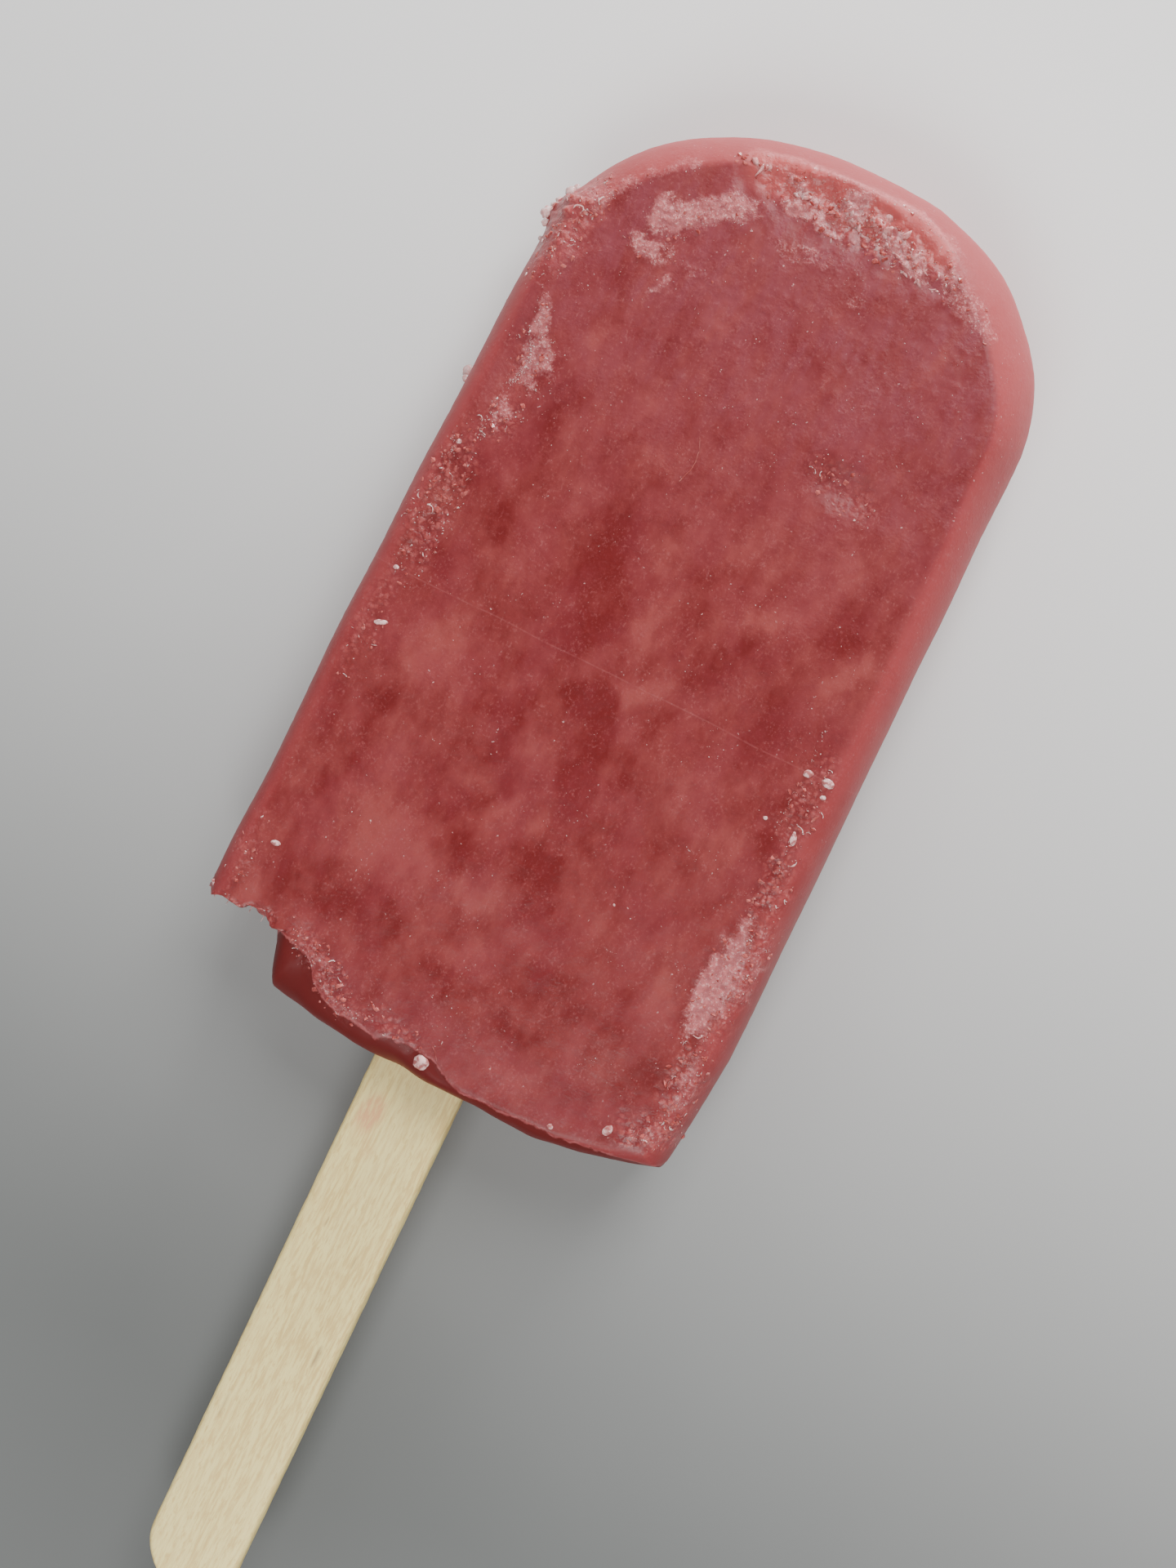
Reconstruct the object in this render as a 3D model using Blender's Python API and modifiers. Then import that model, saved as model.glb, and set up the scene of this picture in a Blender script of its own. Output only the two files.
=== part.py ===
"""Ice pop: a moulded bar of red fruit ice on a flat wooden stick, lying on its back.

Metres, with +Z up. The origin is the middle of the bar's flat back. +Y runs to the round
tip, the stick points to -Y, and the corner at the stick end beside -X has broken off.
"""

import math

import bmesh
import bpy
from mathutils import Matrix, Vector, noise

# The bar's outline in plan, at the widest level of its sides.
TIP_Y = 0.0481
END_Y = -0.0483
ARCH_HEIGHT = 0.0191
ARCH_HALF_WIDTH = 0.0253
END_HALF_WIDTH = 0.0268
ARCH_POWER = 2.08
ARCH_SKEW = 0.0009
ARCH_Y = TIP_Y - ARCH_HEIGHT

# The bar through its thickness: it thins towards the tip, as the mould's draft makes it.
END_THICKNESS = 0.0164
TIP_THICKNESS = 0.0149
EDGE_INSET = 0.0034
EDGE_POWER = 2.5
FACE_ARCH_POWER = 1.66

# The stick end, where the liquid froze against the air: it bulges and falls away.
END_TILT = 0.02
LEFT_FALL = 0.003
LEFT_FALL_FROM = -0.0064
RIGHT_FALL = 0.0028
RIGHT_FALL_FROM = 0.0138
CORNER_TAPER = 0.0019
CORNER_TAPER_LENGTH = 0.0115

# The corner that broke off, and the smooth lump beside it that stayed.
BREAK_X = -0.0178
BREAK_RUN = 0.0024
BREAK_Y = -0.0417
BREAK_HOLLOW_X = -0.0222
BREAK_HOLLOW_HALF_WIDTH = 0.0048
BREAK_HOLLOW = 0.001
BREAK_RAGGED = 0.0008
RAGGED_PITCH = 0.003
LUMP_X = -0.0152
LUMP_HALF_WIDTH = 0.0039
LUMP_REACH = 0.0026
SKIN_SETBACK = 0.0021
LEFT_SETBACK = 0.0013
BACK_SETBACK = 0.0028

# Shallow hollows in the upper face: centre x and y, half width, half length and depth.
HOLLOWS = {
    "tip_chip": (0.0011, 0.0432, 0.0131, 0.0042, 0.0011),
    "left_flake": (-0.0202, 0.0175, 0.0033, 0.0069, 0.0005),
    "right_scuff": (0.0221, -0.0276, 0.0033, 0.0078, 0.0005),
    "middle_pit": (0.0124, 0.0198, 0.0052, 0.0031, 0.0004),
}
FACE_LUMPS = 0.00022
LUMP_PITCH = 0.012

# The grid that the bar is shaped from: cells across, along and through it.
CELLS_ACROSS = 28
CELLS_ALONG = 46
CELLS_THROUGH = 8
ARCH_START = 0.5

# The stick, its small lean and twist in the ice, and the pocket that holds it.
STICK_WIDTH = 0.010
STICK_THICKNESS = 0.0021
STICK_LENGTH = 0.114
STICK_IN_ICE = 0.055
STICK_LEAN = math.radians(0.8)
STICK_TWIST = math.radians(-7.0)
STICK_RIM = 0.00035
POCKET_GAP = 0.0003
END_SEGMENTS = 10

# Colour, roughness and metallic value of each material.
FINISHES = {
    "fruit_ice": ((0.42, 0.07, 0.06, 1.0), 0.28, 0.0),
    "birch": ((0.72, 0.62, 0.44, 1.0), 0.6, 0.0),
}


def smooth_step(start, stop, value):
    """Goes smoothly from 0 at start to 1 at stop."""
    share = min(max((value - start) / (stop - start), 0.0), 1.0)
    return share * share * (3.0 - 2.0 * share)


def hump(centre, half_width, value):
    """1 at the centre, falling smoothly to 0 at half_width on either side."""
    return 1.0 - smooth_step(0.0, 1.0, abs(value - centre) / half_width)


def round_over(through):
    """Rise from -1 at the back to 1 at the face, and how far the rim is tucked in, 0 to 1."""
    angle = through * math.pi / 2
    rise = math.copysign(abs(math.sin(angle)) ** (2 / EDGE_POWER), through)
    tuck = 1.0 - max(math.cos(angle), 0.0) ** (2 / EDGE_POWER)
    return rise, tuck


def thickness_at(y):
    share = (y - END_Y) / (TIP_Y - END_Y)
    return END_THICKNESS + (TIP_THICKNESS - END_THICKNESS) * share


def half_width_at(y, side):
    """Half the bar's width below the arch, on the left (-1) or the right (1) side."""
    share = (y - END_Y) / (ARCH_Y - END_Y)
    width = END_HALF_WIDTH + (ARCH_HALF_WIDTH - END_HALF_WIDTH) * share
    past = max(END_Y + CORNER_TAPER_LENGTH - y, 0.0) / CORNER_TAPER_LENGTH
    if side > 0:
        width -= CORNER_TAPER * past**1.5
    return width


def end_line(x):
    """How far the stick end reaches at x, at the widest level of the sides."""
    left_run = END_HALF_WIDTH + LEFT_FALL_FROM
    left = max(LEFT_FALL_FROM - x, 0.0) / left_run
    right_run = END_HALF_WIDTH - RIGHT_FALL_FROM
    right = max(x - RIGHT_FALL_FROM, 0.0) / right_run
    fall = LEFT_FALL * left**1.2 + RIGHT_FALL * right**1.4
    return END_Y + END_TILT * x + fall


def setback_at(x):
    """How far the upper face's skin stops short of the end line at x."""
    left = LEFT_SETBACK * smooth_step(0.0035, -0.002, x)
    return SKIN_SETBACK + left + LUMP_REACH * hump(LUMP_X, LUMP_HALF_WIDTH, x)


def end_reach(x, rise, tuck):
    """The end face's y at x, with its broken corner and its rounded rims."""
    setback = setback_at(x) if rise > 0 else BACK_SETBACK
    whole = end_line(x) + setback * tuck
    ragged = BREAK_RAGGED * noise.noise(Vector((x, rise * END_THICKNESS, 0.0)) / RAGGED_PITCH)
    hollow = BREAK_HOLLOW * hump(BREAK_HOLLOW_X, BREAK_HOLLOW_HALF_WIDTH, x)
    broken = BREAK_Y + hollow + ragged
    missing = smooth_step(BREAK_X + BREAK_RUN / 2, BREAK_X - BREAK_RUN / 2, x)
    return whole + (broken - whole) * missing


def face_depth(x, y):
    """How far the upper face lies below its plane, from its hollows and soft lumps."""
    depth = FACE_LUMPS * noise.noise(Vector((x, y, 0.0)) / LUMP_PITCH)
    for centre_x, centre_y, half_width, half_length, hollow in HOLLOWS.values():
        away = math.hypot((x - centre_x) / half_width, (y - centre_y) / half_length)
        depth += hollow * hump(0.0, 1.0, away)
    return depth


def arch_plan(across, up, tuck):
    """Plan position in the arch: a square's upper half drawn onto a superellipse's."""
    power = ARCH_POWER + (FACE_ARCH_POWER - ARCH_POWER) * tuck
    inset = EDGE_INSET * tuck
    side = across * (1.0 - up**power / 2) ** (1 / power)
    rise = up * (1.0 - abs(across) ** power / 2) ** (1 / power)
    x = side * (ARCH_HALF_WIDTH - inset) + ARCH_SKEW * rise**2
    return x, ARCH_Y + rise * (ARCH_HEIGHT - inset)


def shank_plan(across, up, rise, tuck):
    """Plan position between the stick end and the arch."""
    end = end_reach(across * END_HALF_WIDTH, rise, tuck)
    y = end + (ARCH_Y - end) * up
    return across * (half_width_at(y, across) - EDGE_INSET * tuck), y


def bar_point(across, along, through):
    """Where a point of the block from -1 to 1 goes on the bar."""
    rise, tuck = round_over(through)
    if along > ARCH_START:
        up = (along - ARCH_START) / (1 - ARCH_START)
        x, y = arch_plan(across, up, tuck)
    else:
        up = (along + 1) / (ARCH_START + 1)
        x, y = shank_plan(across, up, rise, tuck)
    z = thickness_at(y) / 2 * (1 + rise)
    if rise > 0:
        z -= face_depth(x, y) * rise**4
    return Vector((x, y, z))


def gridded_block(cells):
    """A block from -1 to 1 whose faces are cut into cells along each axis."""
    mesh = bmesh.new()
    bmesh.ops.create_cube(mesh, size=2.0)
    for axis, count in enumerate(cells):
        lengthwise = [
            edge for edge in mesh.edges
            if abs(edge.verts[0].co[axis] - edge.verts[1].co[axis]) > 1e-4
        ]
        bmesh.ops.subdivide_edges(mesh, edges=lengthwise, cuts=count - 1, use_grid_fill=True)
    return mesh


def flat_stick(grown):
    """The stick's mesh, or its pocket's, grown on every side, centred with its length on Y."""
    half_width = STICK_WIDTH / 2 + grown
    size = (2 * half_width, STICK_LENGTH + 2 * grown, STICK_THICKNESS + 2 * grown)
    mesh = bmesh.new()
    bmesh.ops.create_cube(mesh, size=1.0, matrix=Matrix.Diagonal((*size, 1.0)))
    upright = [
        edge for edge in mesh.edges
        if abs(edge.verts[0].co.z - edge.verts[1].co.z) > STICK_THICKNESS / 2
    ]
    bmesh.ops.bevel(
        mesh,
        geom=upright,
        offset=half_width * 0.97,
        segments=END_SEGMENTS,
        profile=0.5,
        affect="EDGES",
        material=-1,
    )
    return mesh


def add_object(name, mesh, collection, finish=None):
    """Makes a bmesh an object, with its material if it is a part."""
    data = bpy.data.meshes.new(name)
    mesh.to_mesh(data)
    mesh.free()
    made = bpy.data.objects.new(name, data)
    collection.objects.link(made)
    if finish:
        data.materials.append(material(finish))
        data.shade_smooth()
        data.set_sharp_from_angle(angle=math.radians(50))
    else:
        made.hide_render = True
        made.display_type = "WIRE"
    return made


def material(finish):
    colour, roughness, metallic = FINISHES[finish]
    made = bpy.data.materials.new(finish)
    made.use_nodes = True
    shader = made.node_tree.nodes["Principled BSDF"]
    shader.inputs["Base Color"].default_value = colour
    shader.inputs["Roughness"].default_value = roughness
    shader.inputs["Metallic"].default_value = metallic
    return made


def place_in_ice(piece):
    """Sets a stick-shaped piece along the bar's middle level, with its lean and twist."""
    slope = math.atan((END_THICKNESS - TIP_THICKNESS) / 2 / (TIP_Y - END_Y))
    turn = (
        Matrix.Rotation(STICK_LEAN, 4, "Z")
        @ Matrix.Rotation(-slope, 4, "X")
        @ Matrix.Rotation(STICK_TWIST, 4, "Y")
    )
    mouth = Matrix.Translation((0.0, END_Y, END_THICKNESS / 2))
    inward = Matrix.Translation((0.0, STICK_IN_ICE - STICK_LENGTH / 2, 0.0))
    piece.matrix_world = mouth @ turn @ inward


def build():
    for old in list(bpy.data.objects):
        bpy.data.objects.remove(old, do_unlink=True)
    parts = bpy.data.collections.new("ice_pop")
    cutters = bpy.data.collections.new("cutters")
    for group in (parts, cutters):
        bpy.context.scene.collection.children.link(group)

    block = gridded_block((CELLS_ACROSS, CELLS_ALONG, CELLS_THROUGH))
    for vertex in block.verts:
        vertex.co = bar_point(*vertex.co)
    bar = add_object("ice_bar", block, parts, "fruit_ice")

    stick = add_object("stick", flat_stick(0.0), parts, "birch")
    rim = stick.modifiers.new("eased_rim", "BEVEL")
    rim.width = STICK_RIM
    rim.segments = 2
    rim.limit_method = "ANGLE"
    rim.angle_limit = math.radians(50)
    place_in_ice(stick)

    pocket = add_object("stick_pocket", flat_stick(POCKET_GAP), cutters)
    place_in_ice(pocket)
    cut = bar.modifiers.new("stick_pocket", "BOOLEAN")
    cut.operation = "DIFFERENCE"
    cut.solver = "EXACT"
    cut.object = pocket


build()
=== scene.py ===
"""Ice pop, dressed: a bar of red fruit ice with its frost and crystals, on a flat birch stick.

Metres, with +Z up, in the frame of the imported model: the bar lies on its flat back with its
round tip to +Y, and the stick points to -Y. The lists of places below are in millimetres.
"""

import math
import random

import bmesh
import bpy
from mathutils import Matrix, Vector, noise
from mathutils.bvhtree import BVHTree


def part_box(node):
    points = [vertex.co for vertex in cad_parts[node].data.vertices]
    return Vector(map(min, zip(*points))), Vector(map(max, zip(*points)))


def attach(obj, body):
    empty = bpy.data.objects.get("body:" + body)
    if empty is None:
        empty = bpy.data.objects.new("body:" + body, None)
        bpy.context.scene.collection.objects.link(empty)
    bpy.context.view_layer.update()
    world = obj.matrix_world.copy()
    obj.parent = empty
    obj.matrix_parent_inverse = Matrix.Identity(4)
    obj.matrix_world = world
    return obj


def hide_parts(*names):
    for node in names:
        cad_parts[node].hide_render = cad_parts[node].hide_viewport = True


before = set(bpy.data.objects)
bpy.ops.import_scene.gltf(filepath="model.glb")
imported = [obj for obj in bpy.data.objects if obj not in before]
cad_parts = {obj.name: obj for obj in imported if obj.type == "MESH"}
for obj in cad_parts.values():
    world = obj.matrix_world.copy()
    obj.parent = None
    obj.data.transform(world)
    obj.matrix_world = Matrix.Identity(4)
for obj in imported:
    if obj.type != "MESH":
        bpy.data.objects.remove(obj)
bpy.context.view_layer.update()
bar_low, bar_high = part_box("ice_bar")

MM = 0.001

# The bar's outline in plan, at the widest level of its sides.
TIP_Y = bar_high.y
END_Y = -0.0483
ARCH_HEIGHT = 0.0191
ARCH_HALF_WIDTH = 0.0253
END_HALF_WIDTH = 0.0268
ARCH_POWER = 2.08
ARCH_SKEW = 0.0009
ARCH_Y = TIP_Y - ARCH_HEIGHT

# The bar through its thickness: it thins towards the tip, as the mould's draft makes it.
END_THICKNESS = 0.0164
TIP_THICKNESS = 0.0149
EDGE_INSET = 0.0034
EDGE_POWER = 2.5
TIP_EDGE_POWER = 1.6
FACE_ARCH_POWER = 1.66

# The stick end, where the liquid froze against the air: it bulges and falls away.
END_TILT = 0.02
LEFT_FALL = 0.003
LEFT_FALL_FROM = -0.0064
RIGHT_FALL = 0.0029
RIGHT_FALL_FROM = 0.0138
CORNER_TAPER = 0.0015
CORNER_TAPER_LENGTH = 0.0153

# The corner that broke off, and the smooth lump beside it that stayed.
BREAK_X = -0.0178
BREAK_RUN = 0.0028
BREAK_Y = -0.0405
BREAK_HOLLOW_X = -0.0228
BREAK_HOLLOW_HALF_WIDTH = 0.0036
BREAK_HOLLOW = 0.0006
BREAK_RAGGED = 0.0005
RAGGED_PITCH = 0.0016
LUMP_X = -0.0152
LUMP_HALF_WIDTH = 0.0039
LUMP_REACH = 0.0026
SKIN_SETBACK = 0.0021
LEFT_SETBACK = 0.0013
BACK_SETBACK = 0.0028

# The grid that the bar is shaped from, and how much finer its upper side is.
CELLS_ACROSS = 60
CELLS_ALONG = 106
CELLS_THROUGH = 10
FINER_CUTS = 2
FINER_FROM = -0.25
ARCH_START = 0.5

# The stick, its small lean and twist in the ice, and the easing of its edges.
STICK_WIDTH = 0.010
STICK_THICKNESS = 0.0021
STICK_LENGTH = 0.114
STICK_IN_ICE = 0.055
STICK_LEAN = math.radians(0.8)
STICK_TWIST = math.radians(-7.0)
STICK_RIM = 0.00035

# The rim of the chip at the tip, from left to right, in plan.
CHIP_RIM = [
    (-10.6, 42.4), (-9.2, 44.0), (-5.0, 44.9), (-0.2, 45.1), (6.1, 45.2), (9.2, 44.3),
    (11.6, 43.0), (12.9, 40.2), (13.6, 38.2),
]
CHIP_DROP = 0.24

# Small flats and swells in the tip's outline: centre x, half width and lift towards the tip.
TIP_SWELLS = [
    (-15.0, 9.0, 0.3), (-9.0, 5.5, 0.12), (1.5, 4.5, -0.06), (8.0, 3.0, 0.12), (21.0, 5.0, -0.4),
]
TIP_LIFT = 0.34

# Where the left side has wasted away, and the crust of granules above it.
LEFT_WASTE = -0.08
LEFT_CRUST = 0.8
LEFT_CRUST_Y = 32.8

# Where the upper face's skin ends at the stick end, from left to right, in plan.
SKIN_EDGE = [
    (-27.0, -44.0), (-18.6, -43.4), (-17.4, -40.8), (-13.6, -41.6), (-12.1, -43.6),
    (-10.8, -44.5), (-8.7, -45.2), (-6.0, -45.1), (-4.3, -45.7), (-3.4, -44.9), (-0.7, -44.7),
    (1.9, -44.9), (3.6, -45.9), (5.2, -46.4), (9.5, -46.2), (13.0, -45.8), (15.3, -45.9),
    (18.3, -45.3), (20.3, -45.0), (21.7, -44.9), (25.1, -44.3), (27.0, -44.0),
]
SKIN_LIP = 0.14

# Shallow hollows in the upper face: centre x and y, half width, half length and depth.
HOLLOWS = {
    "left_flake": (-20.2, 17.5, 3.3, 6.9, 0.5),
    "right_scuff": (22.1, -27.6, 3.3, 7.8, 0.5),
    "middle_pit": (12.4, 19.8, 5.2, 3.1, 0.4),
}

# Milky clouds and deep red streaks under the face: x, y, half width, half length, milkiness.
CLOUDS = {
    "cheek_left": (-15.5, -11.0, 3.2, 4.6, 0.9),
    "cheek_low": (-12.0, -27.5, 5.4, 4.6, 1.0),
    "cheek_mid": (-12.5, 1.5, 2.6, 3.2, 0.6),
    "cheek_high": (-9.5, 9.5, 2.0, 2.0, 0.8),
    "spine_low": (-1.5, -29.3, 2.4, 2.2, 1.0),
    "spine_mid": (-2.8, -21.5, 1.6, 2.6, 0.6),
    "spine_high": (-3.0, -14.4, 2.6, 1.8, 0.6),
    "heart": (2.2, 1.0, 1.6, 3.2, 0.7),
    "heart_low": (4.0, -4.5, 2.8, 1.8, 0.9),
    "heart_high": (1.5, 8.5, 1.6, 2.8, 0.5),
    "right_cheek": (12.0, -11.0, 3.2, 4.4, 0.6),
    "right_cheek_edge": (17.2, -14.5, 2.6, 3.0, 0.4),
    "right_belly": (13.5, -26.5, 3.6, 3.0, 0.35),
    "right_flank": (18.3, -29.5, 1.8, 5.0, 0.7),
    "right_high": (12.0, 6.2, 2.8, 1.6, 0.9),
    "right_spot": (20.3, 4.4, 1.8, 1.6, 1.0),
    "right_arm": (16.0, 12.0, 3.0, 3.4, 0.5),
    "right_breast": (8.0, 13.5, 1.8, 5.0, 0.6),
    "left_breast": (-8.0, 18.0, 1.5, 2.6, 0.7),
    "left_brow": (-13.8, 21.5, 1.3, 2.2, 0.6),
    "brow": (-5.0, 32.0, 2.0, 4.2, 0.7),
    "brow_right": (13.7, 34.2, 1.8, 1.8, 0.5),
    "end_middle": (1.0, -34.4, 2.2, 2.0, 0.4),
    "end_left": (-22.0, -37.0, 2.2, 3.4, 0.5),
    "end_right": (8.5, -42.6, 5.0, 1.8, 0.3),
    "streak_heart": (-4.6, 4.5, 3.2, 6.8, -0.9),
    "streak_under": (-4.2, -2.8, 2.0, 2.2, -0.7),
    "streak_left_high": (-15.6, 15.0, 1.7, 5.4, -0.8),
    "streak_left": (-16.2, 4.4, 2.4, 2.4, -0.58),
    "streak_left_low": (-18.6, -2.4, 1.4, 3.4, -0.5),
    "streak_middle": (0.4, -8.4, 2.9, 3.3, -1.2),
    "streak_middle_low": (1.8, -15.2, 1.5, 4.6, -1.0),
    "streak_end": (3.5, -24.0, 2.4, 5.0, -0.9),
    "dot_left": (-6.5, -12.0, 1.3, 2.4, -0.7),
    "dot_right": (6.3, -12.6, 1.7, 3.0, -0.6),
    "hook": (-4.4, -18.9, 1.3, 2.8, -0.8),
    "hook_low": (-7.2, -22.2, 2.4, 2.3, -0.65),
    "hook_end": (-4.6, -26.4, 2.2, 2.6, -0.58),
    "seam_left": (-18.2, -16.5, 1.0, 3.6, -0.58),
    "seam_left_low": (-16.6, -22.2, 1.1, 2.4, -0.7),
    "pool_left": (-18.5, -29.0, 2.2, 2.0, -0.5),
    "pool_end": (-8.2, -33.6, 3.0, 2.0, -0.5),
    "pool_end_left": (-12.6, -36.8, 4.6, 2.2, -0.65),
    "pool_corner": (-19.5, -36.6, 2.6, 1.8, -0.43),
    "pool_middle": (-0.6, -37.6, 2.4, 2.4, -0.58),
    "pool_right": (7.0, -33.0, 2.2, 1.7, -0.58),
    "pool_far": (12.0, -33.2, 2.5, 1.8, -0.65),
    "pool_low": (8.0, -38.2, 3.4, 1.8, -0.5),
    "bar_right": (8.2, -18.0, 2.4, 1.5, -0.6),
    "belt_right": (9.6, 0.6, 3.2, 2.8, -0.58),
    "belt_far": (16.2, -3.0, 2.6, 3.0, -0.65),
    "belt_high": (17.6, 7.6, 2.0, 2.4, -0.43),
    "edge_right": (20.0, -10.5, 1.5, 4.2, -0.8),
    "corner_right": (20.4, -37.6, 2.8, 2.2, -1.0),
    "lip_right": (15.6, -42.6, 3.2, 1.3, -0.6),
    "shoulder_left": (-17.6, 32.0, 1.6, 5.0, -0.5),
    "shoulder_right": (21.0, 24.0, 1.8, 6.0, -0.3),
}

# Powdery frost: x, y, half length, half breadth, turn of its length from +X, strength.
FROST = {
    "shoulder_upper": (-9.2, 37.9, 4.0, 1.4, 26.0, 0.8),
    "shoulder_upper_left": (-13.0, 35.5, 2.8, 1.7, 16.0, 0.9),
    "shoulder_lower": (-14.0, 32.1, 2.4, 1.2, 6.0, 0.75),
    "shoulder_fade": (-9.8, 31.9, 2.6, 0.6, 0.0, 0.3),
    "shoulder_spot": (-11.6, 29.2, 1.2, 0.5, 75.0, 0.6),
    "shoulder_crease": (-15.0, 39.4, 3.2, 0.8, 38.0, 0.45),
    "shoulder_edge": (-19.4, 35.4, 2.8, 1.0, 48.0, 0.5),
    "brow": (-0.8, 37.3, 3.4, 0.8, 2.0, 0.36),
    "brow_right": (5.6, 35.9, 1.6, 0.6, 80.0, 0.3),
    "tip_band": (15.4, 39.0, 3.8, 1.3, -28.0, 0.5),
    "tip_ridge": (9.2, 44.2, 3.6, 0.6, -18.0, 0.6),
    "tip_corner": (12.4, 40.6, 2.2, 0.8, -66.0, 0.5),
    "flake_top": (-20.2, 22.2, 2.2, 1.0, 104.0, 0.8),
    "flake_foil": (-18.9, 18.4, 2.8, 1.7, 108.0, 0.7),
    "flake_low": (-19.8, 13.2, 2.4, 0.8, 96.0, 0.5),
    "right_band": (22.2, -25.6, 6.3, 1.7, 90.0, 1.0),
    "right_side": (24.3, -24.0, 5.0, 0.8, 90.0, 0.5),
    "right_low": (24.2, -36.4, 4.4, 0.9, 94.0, 0.5),
    "right_corner": (23.4, -41.6, 2.4, 1.0, 22.0, 0.3),
    "end_left": (-13.2, -41.3, 3.6, 0.8, -36.0, 0.4),
    "end_low": (-7.2, -44.4, 3.8, 0.6, -6.0, 0.4),
    "chip_left": (-3.2, 42.3, 2.4, 0.9, -20.0, 0.85),
    "chip_low": (-1.6, 40.5, 3.4, 0.6, -6.0, 0.7),
    "chip_middle": (1.5, 43.0, 2.4, 1.3, 60.0, 0.95),
    "chip_right": (7.4, 41.0, 3.6, 1.1, -24.0, 0.95),
}

# Crumbly ice, the same way: x, y, half length, half breadth, turn, strength.
CRUMBS = {
    "left_shoulder": (-21.8, 31.2, 5.6, 2.4, 78.0, 0.8),
    "left_flake": (-19.8, 18.6, 3.6, 1.8, 100.0, 0.45),
    "left_low_flake": (-19.6, 12.4, 2.4, 1.6, 90.0, 0.55),
    "left_band": (-21.6, 2.6, 7.6, 2.2, 90.0, 0.75),
    "left_tail": (-22.6, -10.0, 6.4, 1.4, 90.0, 0.4),
    "left_low": (-23.6, -35.4, 4.8, 1.2, 92.0, 0.4),
    "right_top": (22.0, -7.2, 5.4, 1.6, 90.0, 0.5),
    "right_middle": (22.9, -15.8, 4.2, 1.5, 90.0, 0.8),
    "right_frost": (24.0, -25.0, 6.8, 1.4, 90.0, 0.8),
    "right_low": (23.6, -36.0, 4.8, 1.8, 94.0, 0.8),
    "right_corner": (22.8, -41.6, 3.2, 1.6, 16.0, 0.85),
    "end_left": (-11.6, -42.4, 5.4, 1.7, -32.0, 0.65),
    "end_middle": (-3.4, -43.8, 3.6, 1.2, -10.0, 0.4),
    "middle_pit": (12.6, 19.8, 4.4, 1.8, -16.0, 0.3),
    "chip_floor": (1.6, 42.0, 10.4, 2.2, -5.0, 0.9),
}

# White granules on the face: x, y, length, breadth, turn of the length from +X.
WHITE_GRANULES = {
    "right_first": (21.0, -4.8, 1.0, 0.8, 20.0),
    "right_second": (23.0, -4.8, 1.3, 0.9, -10.0),
    "right_third": (23.2, -6.2, 0.6, 0.5, 0.0),
    "right_long": (22.5, -10.9, 1.6, 0.7, 100.0),
    "right_inner": (19.3, -10.2, 0.5, 0.4, 0.0),
    "corner_oval": (19.3, -43.0, 1.3, 0.9, 70.0),
    "end_small": (14.3, -45.2, 0.7, 0.6, 0.0),
    "end_bead": (0.7, -45.6, 1.7, 1.6, 0.0),
    "left_flake": (-21.4, -10.0, 1.5, 0.6, 20.0),
    "left_bright": (-21.3, -33.4, 1.1, 0.6, 15.0),
    "left_chalk": (-22.4, -4.7, 0.6, 0.5, 0.0),
    "left_glint": (-22.2, 8.5, 0.6, 0.5, 40.0),
}

# Thin threads of ice on the face: thickness, then the places each one passes.
THREADS = {
    "arc": (0.035, [(-1.9, 18.6), (-1.3, 17.4), (-1.2, 15.6), (-1.8, 13.8)]),
    "end_crack": (0.07, [(1.0, -43.7), (1.6, -44.3), (2.5, -45.3)]),
}

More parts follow.
